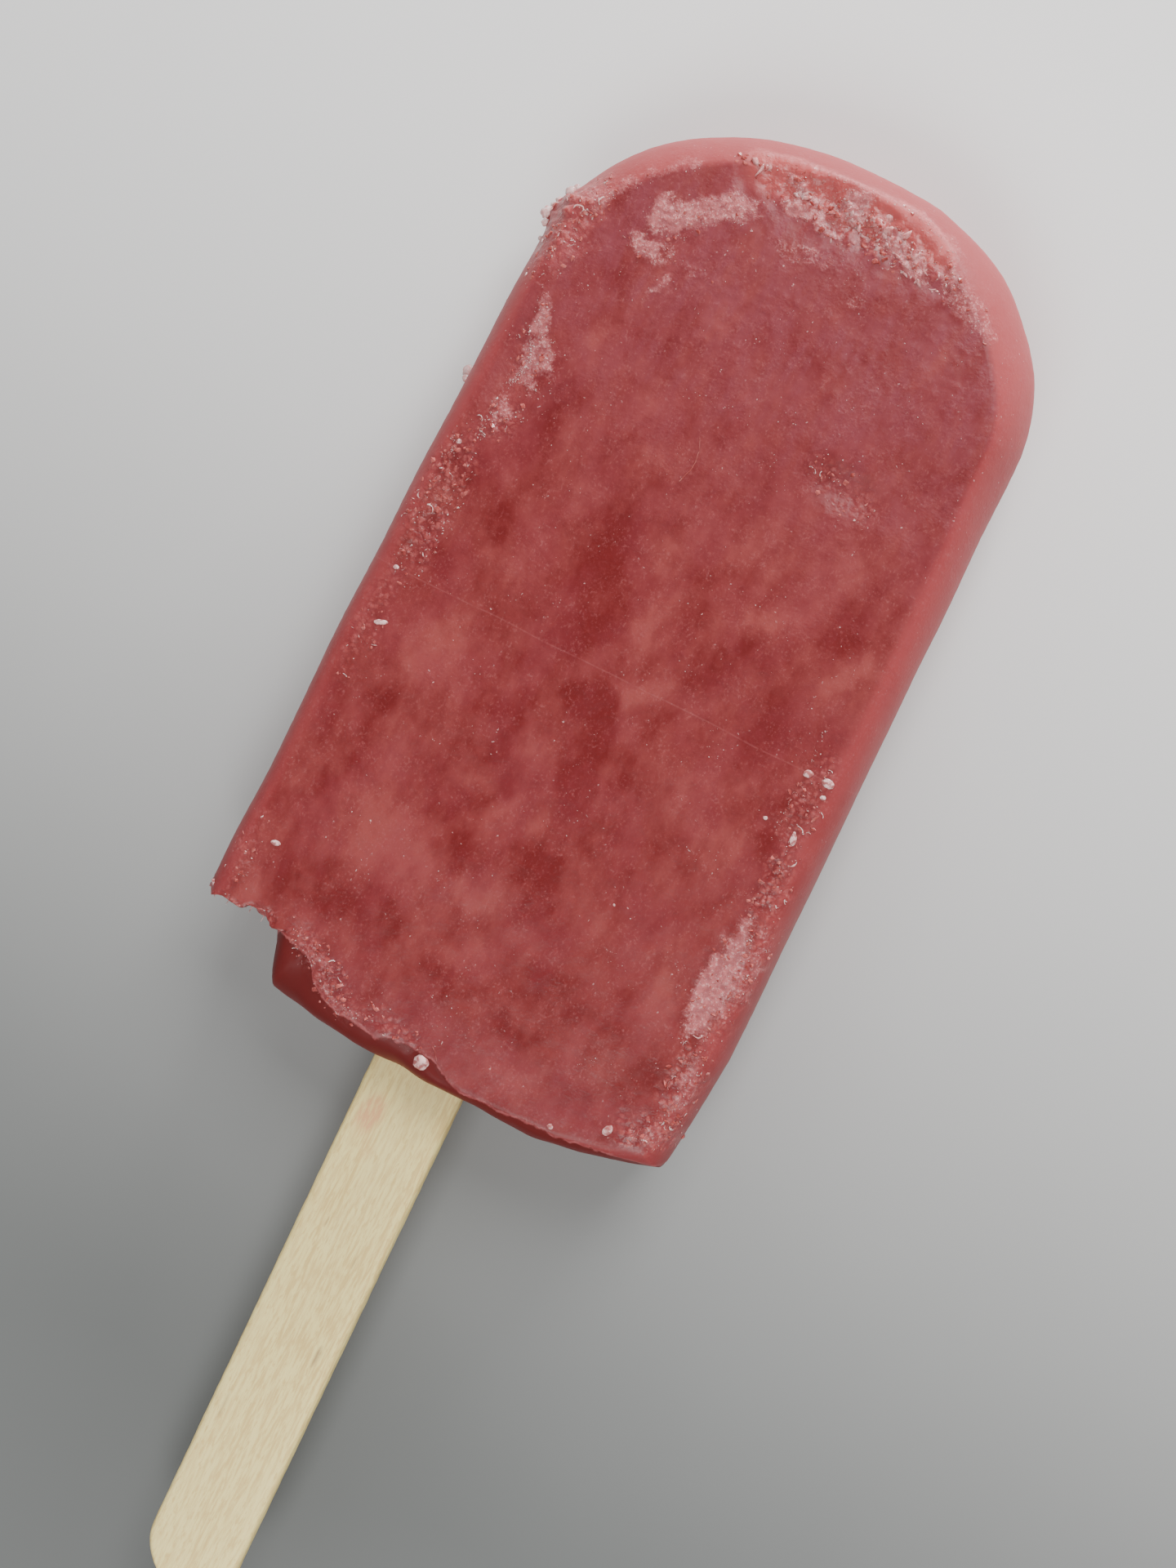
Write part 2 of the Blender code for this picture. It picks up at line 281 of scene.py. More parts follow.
# Rows of tiny bright crystals: how many to the millimetre, straying, then the places passed.
GLINT_ROWS = {
    "chip_rim": (3.0, 0.12, CHIP_RIM),
    "chip_corner": (5.0, 0.35, [(9.0, 44.4), (11.6, 43.0), (13.0, 40.6), (13.6, 38.2)]),
    "flake_streak": (26.0, 0.17, [(-20.9, 20.6), (-20.1, 19.5), (-19.4, 18.0), (-19.9, 16.4), (-20.5, 15.4)]),
    "flake_top": (6.0, 0.35, [(-20.9, 23.4), (-20.2, 21.6), (-18.6, 20.2), (-17.2, 19.3)]),
    "flake_edge": (8.0, 0.25, [(-20.2, 15.6), (-19.0, 15.9), (-17.9, 15.5), (-17.4, 16.8)]),
    "flake_tail": (16.0, 0.20, [(-20.7, 13.6), (-20.5, 12.2), (-20.8, 10.9), (-20.3, 9.6)]),
    "flake_beside": (5.0, 0.35, [(-18.8, 14.0), (-17.8, 13.2), (-17.7, 12.2)]),
    "left_loop": (13.0, 0.16, [(-23.2, 8.8), (-22.4, 8.2), (-22.4, 7.0), (-23.2, 6.6)]),
    "left_hook": (8.0, 0.2, [(-20.3, 6.9), (-19.7, 6.3), (-20.0, 5.6)]),
    "left_run": (6.0, 0.5, [(-22.8, 5.0), (-22.4, 2.6), (-22.9, 0.0), (-22.6, -3.0)]),
    "left_inner": (5.0, 0.45, [(-19.9, 4.0), (-19.5, 0.5), (-20.0, -2.6), (-20.6, -6.0)]),
    "shoulder_run": (7.0, 0.7, [(-20.0, 35.0), (-21.8, 32.0), (-22.0, 29.0), (-21.0, 26.0)]),
    "pit_top": (5.0, 0.08, [(10.2, 20.2), (11.0, 20.35), (11.9, 20.2)]),
    "pit_side": (4.0, 0.12, [(12.2, 19.9), (12.3, 19.2), (11.9, 18.4)]),
    "pit_left": (2.0, 0.4, [(8.6, 20.4), (9.2, 19.2), (10.2, 18.0)]),
    "pit_low": (2.5, 0.4, [(12.6, 18.4), (13.8, 17.4), (15.2, 18.2), (15.6, 19.4)]),
    "pit_crown": (2.0, 0.3, [(9.2, 22.2), (10.4, 22.8), (11.4, 22.6)]),
    "right_line": (4.0, 0.14, [(20.7, 0.2), (20.6, -2.2), (20.9, -4.6), (20.6, -8.0), (20.8, -12.2)]),
    "right_beads": (3.0, 0.6, [(22.6, -3.4), (23.0, -7.0), (22.6, -10.6), (22.9, -14.0)]),
    "corner_run": (4.0, 0.6, [(24.2, -33.0), (24.4, -37.0), (23.8, -40.4), (21.6, -42.4)]),
    "end_run": (4.0, 0.4, [(-16.4, -40.6), (-13.4, -41.6), (-11.6, -43.4), (-8.6, -44.6), (-4.0, -44.6)]),
}

# Clear beads on the left side: y and diameter.
SIDE_BEADS = [
    (15.2, 1.35), (14.4, 0.8), (35.2, 0.8), (34.4, 1.0), (33.6, 0.8), (32.9, 0.9), (31.9, 1.3),
    (31.0, 0.8), (29.6, 0.5), (23.0, 0.4), (-12.6, 0.35), (-31.0, 0.5),
]

# Ice splinters that stand out from the broken corner: x and length.
SPLINTERS = [
    (-25.2, 0.9), (-24.6, 0.5), (-23.9, 0.6), (-23.2, 0.9), (-22.6, 0.7), (-21.9, 1.1),
    (-21.4, 0.6), (-20.9, 0.9), (-20.1, 0.5), (-19.6, 0.8), (-18.9, 0.6),
]


def smooth_step(start, stop, value):
    """Goes smoothly from 0 at start to 1 at stop."""
    share = min(max((value - start) / (stop - start), 0.0), 1.0)
    return share * share * (3.0 - 2.0 * share)


def hump(centre, half_width, value):
    """1 at the centre, falling smoothly to 0 at half_width on either side."""
    return 1.0 - smooth_step(0.0, 1.0, abs(value - centre) / half_width)


def along_line(line, x):
    """The height of a drawn line at x, straight between its points."""
    if x <= line[0][0]:
        return line[0][1]
    for (x0, y0), (x1, y1) in zip(line, line[1:]):
        if x <= x1:
            return y0 + (y1 - y0) * (x - x0) / (x1 - x0)
    return line[-1][1]


def in_patch(x, y, patch):
    """How deep a place lies in a turned oval: 1 at its middle, 0 well past its edge."""
    middle_x, middle_y, half_length, half_breadth, turn, strength = patch
    turn = math.radians(turn)
    away_x, away_y = x - middle_x, y - middle_y
    along = (away_x * math.cos(turn) + away_y * math.sin(turn)) / half_length
    across = (away_y * math.cos(turn) - away_x * math.sin(turn)) / half_breadth
    return strength * (1.0 - smooth_step(0.5, 1.35, math.hypot(along, across)))


def round_over(through, along):
    """Rise from -1 at the back to 1 at the face, and how far the rim is tucked in, 0 to 1."""
    power = EDGE_POWER
    if through > 0.0:
        power += (TIP_EDGE_POWER - EDGE_POWER) * smooth_step(-0.2, 0.6, along)
    angle = through * math.pi / 2
    rise = math.copysign(abs(math.sin(angle)) ** (2 / power), through)
    tuck = 1.0 - max(math.cos(angle), 0.0) ** (2 / power)
    return rise, tuck


def thickness_at(y):
    share = (y - END_Y) / (TIP_Y - END_Y)
    return END_THICKNESS + (TIP_THICKNESS - END_THICKNESS) * share


def half_width_at(y, side):
    """Half the bar's width below the arch, on the left (-1) or the right (1) side."""
    share = (y - END_Y) / (ARCH_Y - END_Y)
    width = END_HALF_WIDTH + (ARCH_HALF_WIDTH - END_HALF_WIDTH) * share
    past = max(END_Y + CORNER_TAPER_LENGTH - y, 0.0) / CORNER_TAPER_LENGTH
    if side > 0:
        width -= CORNER_TAPER * past
    return width


def end_line(x):
    """How far the stick end reaches at x, at the widest level of the sides."""
    left_run = END_HALF_WIDTH + LEFT_FALL_FROM
    left = max(LEFT_FALL_FROM - x, 0.0) / left_run
    right_run = END_HALF_WIDTH - RIGHT_FALL_FROM
    right = max(x - RIGHT_FALL_FROM, 0.0) / right_run
    fall = LEFT_FALL * left**1.2 + RIGHT_FALL * right**1.6
    return END_Y + END_TILT * x + fall


def setback_at(x):
    """How far the upper face's skin stops short of the end line at x."""
    left = LEFT_SETBACK * smooth_step(0.0035, -0.002, x)
    return SKIN_SETBACK + left + LUMP_REACH * hump(LUMP_X, LUMP_HALF_WIDTH, x)


def end_reach(x, rise, tuck):
    """The end face's y at x, with its broken corner and its rounded rims."""
    setback = setback_at(x) if rise > 0 else BACK_SETBACK
    whole = end_line(x) + setback * tuck
    ragged = BREAK_RAGGED * noise.noise(Vector((x, rise * END_THICKNESS, 0.0)) / RAGGED_PITCH)
    hollow = BREAK_HOLLOW * hump(BREAK_HOLLOW_X, BREAK_HOLLOW_HALF_WIDTH, x)
    broken = BREAK_Y + hollow + ragged
    missing = smooth_step(BREAK_X + BREAK_RUN / 2, BREAK_X - BREAK_RUN / 2, x)
    return whole + (broken - whole) * missing


def arch_plan(across, up, tuck):
    """Plan position in the arch: a square's upper half drawn onto a superellipse's."""
    power = ARCH_POWER + (FACE_ARCH_POWER - ARCH_POWER) * tuck
    inset = EDGE_INSET * tuck
    side = across * (1.0 - up**power / 2) ** (1 / power)
    rise = up * (1.0 - abs(across) ** power / 2) ** (1 / power)
    x = side * (ARCH_HALF_WIDTH - inset) + ARCH_SKEW * rise**2
    return x, ARCH_Y + rise * (ARCH_HEIGHT - inset)


def shank_plan(across, up, rise, tuck):
    """Plan position between the stick end and the arch."""
    end = end_reach(across * END_HALF_WIDTH, rise, tuck)
    y = end + (ARCH_Y - end) * up
    return across * (half_width_at(y, across) - EDGE_INSET * tuck), y


def bar_point(across, along, through):
    """Where a point of the block from -1 to 1 goes on the bar."""
    rise, tuck = round_over(through, along)
    if along > ARCH_START:
        up = (along - ARCH_START) / (1 - ARCH_START)
        x, y = arch_plan(across, up, tuck)
    else:
        up = (along + 1) / (ARCH_START + 1)
        x, y = shank_plan(across, up, rise, tuck)
    return Vector((x, y, thickness_at(y) / 2 * (1 + rise)))


def sidle(x, y, z):
    """How far the outline's small flats, swells and crust move a place, in millimetres."""
    up = TIP_LIFT + sum(lift * hump(middle, reach, x) for middle, reach, lift in TIP_SWELLS)
    leftmost = smooth_step(15.0, 24.0, -x)
    wasted = LEFT_WASTE * smooth_step(-24.0, -8.0, y) * smooth_step(29.0, 25.0, y)
    crust = LEFT_CRUST * hump(LEFT_CRUST_Y, 3.0, y) * smooth_step(3.0, 9.0, z)
    crust *= 0.8 + noise.noise(Vector((0.0, y, z)))
    return (wasted - crust) * leftmost, up * smooth_step(30.0, 42.0, y)


def in_chip(x, y):
    """How deep in the chip at the tip a place in plan lies, how near its rim, and how far onto its newly
    broken floor, which the material paints lighter as a fill light in the shade under the rim.
    """
    inside = along_line(CHIP_RIM, x) - y
    ends = smooth_step(-10.6, -8.0, x) * smooth_step(13.6, 11.6, x)
    floor = smooth_step(-0.1, 1.8, inside) * smooth_step(37.0, 42.0, y)
    # the chip floor under the rim, which the material paints lighter as fill light
    fresh_and_fill_light = smooth_step(0.0, 0.4, inside) * smooth_step(39.6, 42.2, y)
    return floor * ends, hump(0.05, 0.45, inside) * ends, fresh_and_fill_light * ends


def face_depth(x, y):
    """How far the upper face lies below its plane, in millimetres."""
    depth = CHIP_DROP * in_chip(x, y)[0]
    for middle_x, middle_y, half_width, half_length, hollow in HOLLOWS.values():
        away = math.hypot((x - middle_x) / half_width, (y - middle_y) / half_length)
        depth += hollow * hump(0.0, 1.0, away)
    return depth


def cloud_at(x, y):
    """How milky the ice is at a place in plan, from about -1 for the deepest red to 1."""
    place = Vector((x, y * 0.75, 0.0))
    other = place + Vector((31.0, 17.0, 5.0))
    milk = 0.55 * noise.fractal(place / 3.4, 1.0, 2.0, 3)
    x += 1.7 * noise.noise(place / 3.8) + 0.6 * noise.noise(place / 1.3)
    y += 2.4 * noise.noise(other / 3.8) + 0.7 * noise.noise(other / 1.3)
    for middle_x, middle_y, half_width, half_length, strength in CLOUDS.values():
        away = math.hypot((x - middle_x) / half_width, (y - middle_y) / half_length)
        if away < 1.5:
            milk += strength * smooth_step(1.5, 0.1, away)
    return milk


def most_of(patches, x, y):
    """The strongest of a set of patches at a place in plan."""
    return max(in_patch(x, y, patch) for patch in patches.values())


def gridded_block(cells):
    """A block from -1 to 1 whose faces are cut into cells along each axis."""
    mesh = bmesh.new()
    bmesh.ops.create_cube(mesh, size=2.0)
    for axis, count in enumerate(cells):
        lengthwise = [
            edge for edge in mesh.edges
            if abs(edge.verts[0].co[axis] - edge.verts[1].co[axis]) > 1e-4
        ]
        bmesh.ops.subdivide_edges(mesh, edges=lengthwise, cuts=count - 1, use_grid_fill=True)
    return mesh


def finished(name, mesh, material, body="root", smooth=True):
    """Makes a bmesh an object with its material, riding on a body."""
    data = bpy.data.meshes.new(name)
    mesh.to_mesh(data)
    mesh.free()
    data.materials.append(material)
    if smooth:
        data.shade_smooth()
    made = bpy.data.objects.new(name, data)
    bpy.context.scene.collection.objects.link(made)
    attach(made, body)
    return made


# ---------------------------------------------------------------- the bar

SOFT_LUMPS = 0.16
SOFT_PITCH = 9.0
GRAIN_LIFT = 0.03
GRAIN_PITCH = 0.75
FROST_LIFT = 0.14
FROST_PITCH = 0.6
CRUMB_LIFT = 0.34
CRUMB_PITCH = 1.0
CHIP_LIFT = 0.3
CHIP_PITCH = 1.5
RIDGE_LIFT = 0.03
WET_LIFT = 0.20
WET_PITCH = 3.0
FARTHER = Vector((9.0, 9.0, 9.0))


def relief_at(place, marks):
    """How far the finished surface stands off the moulded shape, in millimetres."""
    dry = smooth_step(-0.4, 0.2, marks["skin"])
    height = SOFT_LUMPS * noise.noise(place / SOFT_PITCH)
    height += WET_LIFT * noise.noise(place / WET_PITCH) * (1.0 - dry)
    height += GRAIN_LIFT * noise.noise(place / GRAIN_PITCH) * dry
    height -= SKIN_LIP * smooth_step(0.15, -0.25, marks["skin"])
    if marks["frost"] > 0.02:
        height += marks["frost"] * FROST_LIFT * (0.4 + noise.noise(place / FROST_PITCH))
    if marks["crumb"] > 0.02:
        swayed = place + noise.noise_vector(place / 1.6) * 0.5
        nearest, second = noise.voronoi(swayed / CRUMB_PITCH)[0][:2]
        coarse = noise.noise(place / 2.2)
        lumps = min(second - nearest, 0.6) - 0.2 + 0.5 * coarse
        height += marks["crumb"] * CRUMB_LIFT * lumps * dry
    if marks["chip"] > 0.02:
        height += marks["chip"] * CHIP_LIFT * noise.noise(place / CHIP_PITCH)
    return height + marks["ridge"] * RIDGE_LIFT * (0.5 + noise.noise(place / 0.8))


def mark_place(x, y, rise, tuck):
    """What a place on the bar is like: the masks that its shape and its material read."""
    upward = smooth_step(-0.1, 0.5, rise)
    place = Vector((x, y, 0.0))
    stray_x = x + 1.1 * noise.noise(place / 1.7)
    stray_y = y + 1.1 * noise.noise(place / 1.7 + FARTHER)
    low = Vector((x, y, 20.0 * rise)) / 7.0
    milk = cloud_at(x, y) * smooth_step(-0.6, 0.7, rise)
    milk += 0.5 * noise.fractal(low, 1.0, 2.0, 3) * smooth_step(0.6, -0.4, rise)
    chip, ridge, fresh_and_fill_light = in_chip(x, y)
    tipward = smooth_step(10.0, 36.0, y)
    # painted rim light: the rounded sides and back are painted paler, more so towards the tip, for light
    # falling on the rim and glowing through the ice
    painted_rim_light = 1.0 - smooth_step(0.62 + 0.24 * tipward, 0.985, tuck) * upward
    # the left shoulder gets the same painted rim light
    shoulder = in_patch(stray_x, stray_y, CRUMBS["left_shoulder"]) * upward
    # a hazy mauve band by the stick end, partly frost and partly a painted sheen of the lamp light beyond the
    # stick
    end_haze_and_sheen = 0.3 * smooth_step(-39.4, -41.2, y) * smooth_step(-15.0, -10.0, x)
    return {
        "milk": milk,
        "frost": most_of(FROST, stray_x, stray_y) * upward,
        "crumb": most_of(CRUMBS, stray_x, stray_y) * upward,
        "skin": y - along_line(SKIN_EDGE, x),
        # a hazy mauve film that grows towards the tip: partly frost, partly a painted sheen of the light from
        # the tip side
        "haze_and_sheen": max(smooth_step(4.0, 34.0, y), end_haze_and_sheen),
        # the side mask carries the painted rim light
        "side": max(painted_rim_light * (0.65 + 0.35 * smooth_step(-14.0, 10.0, y)), shoulder),
        "chip": chip * upward,
        "ridge": ridge * upward,
        "fresh_and_fill_light": fresh_and_fill_light * upward,
    }


def shape_bar():
    """The bar's mesh, with the masks that its material reads."""
    mesh = gridded_block((CELLS_ACROSS, CELLS_ALONG, CELLS_THROUGH))
    upper = [
        edge for edge in mesh.edges
        if min(vertex.co.z for vertex in edge.verts) > FINER_FROM
    ]
    bmesh.ops.subdivide_edges(mesh, edges=upper, cuts=FINER_CUTS, use_grid_fill=True)
    names = ("milk", "frost", "crumb", "skin", "haze_and_sheen", "side", "chip", "ridge", "fresh_and_fill_light")
    masks = {name: mesh.verts.layers.float.new(name) for name in names}
    marked = []
    for vertex in mesh.verts:
        across, along, through = vertex.co
        rise, tuck = round_over(through, along)
        place = bar_point(across, along, through)
        x, y = place.x / MM, place.y / MM
        marks = mark_place(x, y, rise, tuck)
        if x < -18.0 and along < -0.99:
            marks["crumb"] = 0.8
        for name in names:
            vertex[masks[name]] = marks[name]
        marked.append(marks)
        if rise > 0.0:
            place.z -= face_depth(x, y) * MM * rise**4
        aside, up = sidle(x, y, place.z / MM)
        vertex.co = place + Vector((aside, up, 0.0)) * MM
    mesh.normal_update()
    lifted = []
    for vertex, marks in zip(mesh.verts, marked):
        place = vertex.co / MM
        flat_back = smooth_step(0.0, 1.5, place.z)
        lifted.append(vertex.co + vertex.normal * (relief_at(place, marks) * flat_back * MM))
    for vertex, place in zip(mesh.verts, lifted):
        vertex.co = place
    return mesh


# ---------------------------------------------------------------- the stick

STICK_CELLS = (30, 240, 6)
STICK_STRAIGHT = 0.9


def stick_point(across, along, through):
    """Where a point of the block from -1 to 1 goes on the stick, centred with its length on Y."""
    radius = STICK_WIDTH / 2
    straight = STICK_LENGTH / 2 - radius
    radius -= STICK_RIM * abs(through) ** 5
    if abs(along) < STICK_STRAIGHT:
        x, y = across * radius, along / STICK_STRAIGHT * straight
    else:
        up = (abs(along) - STICK_STRAIGHT) / (1 - STICK_STRAIGHT)
        x = across * math.sqrt(1 - up * up / 2) * radius
        y = straight + up * math.sqrt(1 - across * across / 2) * radius
        y = math.copysign(y, along)
    grain = noise.noise(Vector((x / 0.0006, y / 0.014, through)))
    fuzz = noise.noise(Vector((y / 0.0011, across, through)))
    x += 0.00004 * fuzz * abs(across) ** 8 * math.copysign(1.0, across)
    z = through * STICK_THICKNESS / 2 * (1.0 - 0.10 * abs(across) ** 10)
    return Vector((x, y, z + 0.000022 * grain * through))


def place_in_ice():
    """The stick's place along the bar's middle level, with its lean and twist."""
    slope = math.atan((END_THICKNESS - TIP_THICKNESS) / 2 / (TIP_Y - END_Y))
    turn = (
        Matrix.Rotation(STICK_LEAN, 4, "Z")
        @ Matrix.Rotation(-slope, 4, "X")
        @ Matrix.Rotation(STICK_TWIST, 4, "Y")
    )
    mouth = Matrix.Translation((0.0, END_Y, END_THICKNESS / 2))
    inward = Matrix.Translation((0.0, STICK_IN_ICE - STICK_LENGTH / 2, 0.0))
    return mouth @ turn @ inward


# Marks on the stick: x, y, half length, half breadth, turn of its length from +X, strength.
JUICE_STAIN = {
    "upper": (-2.6, -54.6, 2.2, 1.3, 80.0, 1.8),
    "lower": (-1.4, -57.6, 1.4, 0.8, 100.0, 0.4),
}
KNOTS = {"low": (3.4, -78.6, 1.2, 0.28, 88.0, 1.0), "side": (-2.9, -88.0, 1.6, 0.22, 91.0, 0.6)}


def shape_stick():
    """The stick's mesh, with the stain and the flecks that its material reads."""
    mesh = gridded_block(STICK_CELLS)
    stain = mesh.verts.layers.float.new("stain")
    knot = mesh.verts.layers.float.new("knot")
    for vertex in mesh.verts:
        vertex.co = stick_point(*vertex.co)
    bmesh.ops.transform(mesh, matrix=place_in_ice(), verts=mesh.verts)
    for vertex in mesh.verts:
        x, y = vertex.co.x / MM, vertex.co.y / MM
        vertex[stain] = most_of(JUICE_STAIN, x, y)
        vertex[knot] = most_of(KNOTS, x, y)
    return mesh


# ---------------------------------------------------------------- crystals


class Bunch:
    """Many small crystals gathered into one mesh."""

    def __init__(self, seed):
        self.mesh = bmesh.new()
        self.dice = random.Random(seed)
        self.scratch = bpy.data.meshes.new("crystal")

    def add(self, crystal):
        crystal.to_mesh(self.scratch)
        crystal.free()
        self.mesh.from_mesh(self.scratch)

    def set_down(self, crystal, place, turn):
        bmesh.ops.transform(crystal, matrix=Matrix.Translation(place) @ turn, verts=crystal.verts)
        self.add(crystal)

    def any_turn(self):
        """A turn about a random axis."""
        axis = Vector([self.dice.gauss(0.0, 1.0) for _ in range(3)]).normalized()
        return Matrix.Rotation(self.dice.uniform(0.0, math.tau), 4, axis)

    def chip(self, place, normal, size):
        """A broken bit of ice: a small many-sided ball, stretched and knocked about."""
        crystal = bmesh.new()
        bmesh.ops.create_icosphere(crystal, subdivisions=1, radius=0.5)
        for vertex in crystal.verts:
            vertex.co *= 1.0 + self.dice.uniform(-0.35, 0.35)
        grown = [size * self.dice.uniform(0.5, 1.5) for _ in range(3)]
        self.set_down(crystal, place, self.any_turn() @ Matrix.Diagonal((*grown, 1.0)))

    def shard(self, place, normal, size):
        """A flat broken piece of ice, lying nearly level with the surface."""
        crystal = bmesh.new()
        bmesh.ops.create_icosphere(crystal, subdivisions=2, radius=0.5)
        seed = Vector([self.dice.uniform(0.0, 90.0) for _ in range(3)])
        for vertex in crystal.verts:
            vertex.co *= 1.0 + 0.75 * noise.noise(vertex.co * 2.6 + seed)
        lying = normal.to_track_quat("Z", "Y").to_matrix().to_4x4()
        tilt = Matrix.Rotation(self.dice.gauss(0.0, 0.45), 4, "X")
        spun = Matrix.Rotation(self.dice.gauss(-0.4, 0.7), 4, "Z")
        grown = size * self.dice.uniform(0.9, 1.9), size * self.dice.uniform(0.5, 1.0), size * 0.5
        self.set_down(crystal, place, lying @ tilt @ spun @ Matrix.Diagonal((*grown, 1.0)))

    def fleck(self, place, normal, size):
        """A glinting fleck: a flat splinter of ice."""
        crystal = bmesh.new()
        bmesh.ops.create_cone(
            crystal, segments=3, radius1=0.5, radius2=0.15, depth=0.5, cap_ends=True
        )
        grown = [size * self.dice.uniform(0.6, 1.4) for _ in range(3)]
        self.set_down(crystal, place, self.any_turn() @ Matrix.Diagonal((*grown, 1.0)))

    def curl(self, place, normal, size):
        """A thin bent rind of ice, lying on the surface as part of a loop."""
        crystal = bmesh.new()
        bmesh.ops.create_circle(crystal, segments=4, radius=self.dice.uniform(0.03, 0.07))
        upright = Matrix.Translation((0.5, 0.0, 0.0)) @ Matrix.Rotation(math.pi / 2, 4, "X")
        bmesh.ops.transform(crystal, matrix=upright, verts=crystal.verts)
        bmesh.ops.spin(
            crystal,
            geom=crystal.verts[:] + crystal.edges[:],
            cent=(0.0, 0.0, 0.0),
            axis=(0.0, 0.0, 1.0),
            angle=self.dice.uniform(0.6, 3.0),
            steps=6,
        )
        bmesh.ops.holes_fill(crystal, edges=[edge for edge in crystal.edges if edge.is_boundary])
        for vertex in crystal.verts:
            vertex.co += Vector([self.dice.gauss(0.0, 0.03) for _ in range(3)])
        bmesh.ops.recalc_face_normals(crystal, faces=crystal.faces)
        lying = normal.to_track_quat("Z", "Y").to_matrix().to_4x4()
        tilt = Matrix.Rotation(self.dice.gauss(0.0, 0.2), 4, "X")
        spun = Matrix.Rotation(self.dice.uniform(0.0, math.tau), 4, "Z")
        oval = Matrix.Diagonal((size, size * self.dice.uniform(0.4, 1.1), size, 1.0))
        self.set_down(crystal, place, lying @ tilt @ spun @ oval)

    def lump(self, place, length, breadth, turn, rough=0.22):
        """A rounded granule or bead of ice."""
        crystal = bmesh.new()
        bmesh.ops.create_icosphere(crystal, subdivisions=3, radius=0.5)
        seed = Vector([self.dice.uniform(0.0, 90.0) for _ in range(3)])
        for vertex in crystal.verts:
            vertex.co *= 1.0 + rough * noise.noise(vertex.co * 3.5 + seed)
        grown = Matrix.Diagonal((length, breadth, breadth * 0.7, 1.0))
        self.set_down(crystal, place, Matrix.Rotation(turn, 4, "Z") @ grown)

    def splinter(self, place, length):
        """A clear spike of ice that stands out towards the stick."""
        crystal = bmesh.new()
        bmesh.ops.create_cone(
            crystal, segments=5, radius1=0.16 * MM, radius2=0.02 * MM, depth=length, cap_ends=True
        )
        outward = Vector((self.dice.gauss(0.0, 0.45), -1.0, self.dice.gauss(0.0, 0.2)))
        self.set_down(crystal, place, outward.to_track_quat("Z", "Y").to_matrix().to_4x4())

    def thread(self, surface, line, thickness):
        """A thin thread of ice that lies along the face."""
        steps = laid_line(surface, line, self.dice)
        ahead = (steps[1] - steps[0]).normalized()
        crystal = bmesh.new()
        start = Matrix.Translation(steps[0]) @ ahead.to_track_quat("Z", "Y").to_matrix().to_4x4()
        bmesh.ops.create_circle(
            crystal, segments=5, radius=thickness / 2, cap_ends=True, matrix=start
        )
        ring = crystal.edges[:]
        for before, after in zip(steps, steps[1:]):
            grown = bmesh.ops.extrude_edge_only(crystal, edges=ring)["geom"]
            corners = [part for part in grown if isinstance(part, bmesh.types.BMVert)]
            ring = [
                part for part in grown
                if isinstance(part, bmesh.types.BMEdge) and set(part.verts) <= set(corners)
            ]
            onward = (after - before).normalized()
            turned = ahead.rotation_difference(onward).to_matrix()
            bmesh.ops.translate(crystal, vec=after - before, verts=corners)
            bmesh.ops.rotate(crystal, cent=after, matrix=turned, verts=corners)
            swell = self.dice.uniform(0.75, 1.3)
            middle = Matrix.Translation(-after)
            bmesh.ops.scale(crystal, vec=(swell, swell, swell), space=middle, verts=corners)
            ahead = onward
        bmesh.ops.holes_fill(crystal, edges=[edge for edge in crystal.edges if edge.is_boundary])
        bmesh.ops.recalc_face_normals(crystal, faces=crystal.faces)
        self.add(crystal)


def glint_row(bunch, surface, row):
    """A row of tiny crystals that strays a little from its line."""
    per_length, stray, line = row
    dice = bunch.dice
    for start, stop in zip(line, line[1:]):
        for _ in range(round(math.dist(start, stop) * per_length)):
            share = dice.random()
            x = start[0] + (stop[0] - start[0]) * share + dice.gauss(0.0, stray)
            y = start[1] + (stop[1] - start[1]) * share + dice.gauss(0.0, stray)
            hit, normal = on_face(surface, x, y)
            if hit:
                make = dice.choice((bunch.fleck, bunch.curl, bunch.curl))
                make(hit, normal, dice.uniform(0.09, 0.30) * MM)


THREAD_STEP = 0.3


def laid_line(surface, line, dice):
    """Points every third of a millimetre along a drawn line, laid on the face."""
    steps = []
    for start, stop in zip(line, line[1:]):
        count = max(round(math.dist(start, stop) / THREAD_STEP), 1)
        for step in range(count):
            share = step / count
            x = start[0] + (stop[0] - start[0]) * share + dice.gauss(0.0, 0.03)
            y = start[1] + (stop[1] - start[1]) * share + dice.gauss(0.0, 0.03)
            steps.append(on_face(surface, x, y)[0])
    return [step for step in steps if step]


def on_face(surface, x, y):
    """The point and outward direction of the upper surface at a place in plan, in metres."""
    hit, normal, _, _ = surface.ray_cast(Vector((x * MM, y * MM, 0.05)), Vector((0, 0, -1)))
    return hit, normal


def in_oval(dice, patch, spread=1.15):
    """A random place in a turned oval, thinner towards its edge."""
    middle_x, middle_y, half_length, half_breadth, turn = patch[:5]
    turn = math.radians(turn)
    reach = spread * dice.random() ** 0.6
    angle = dice.uniform(0.0, math.tau)
    along = reach * math.cos(angle) * half_length
    across = reach * math.sin(angle) * half_breadth
    x = middle_x + along * math.cos(turn) - across * math.sin(turn)
    y = middle_y + along * math.sin(turn) + across * math.cos(turn)
    return x, y


def scatter(surface, patches, per_square, sizes, make, dice, sink=0.1, clump=0.0):
    """Scatters crystals over patches, so many to the square millimetre, set in the ice."""
    for patch in patches.values():
        area = math.pi * patch[2] * patch[3]
        for _ in range(round(area * per_square * patch[5])):
            x, y = in_oval(dice, patch)
            if noise.noise(Vector((x, y, 3.0)) / 1.3) < clump * 0.4 - 0.4:
                continue
            hit, normal = on_face(surface, x, y)
            if hit:
                size = dice.uniform(*sizes) * MM
                make(hit - normal * size * sink, normal, size)


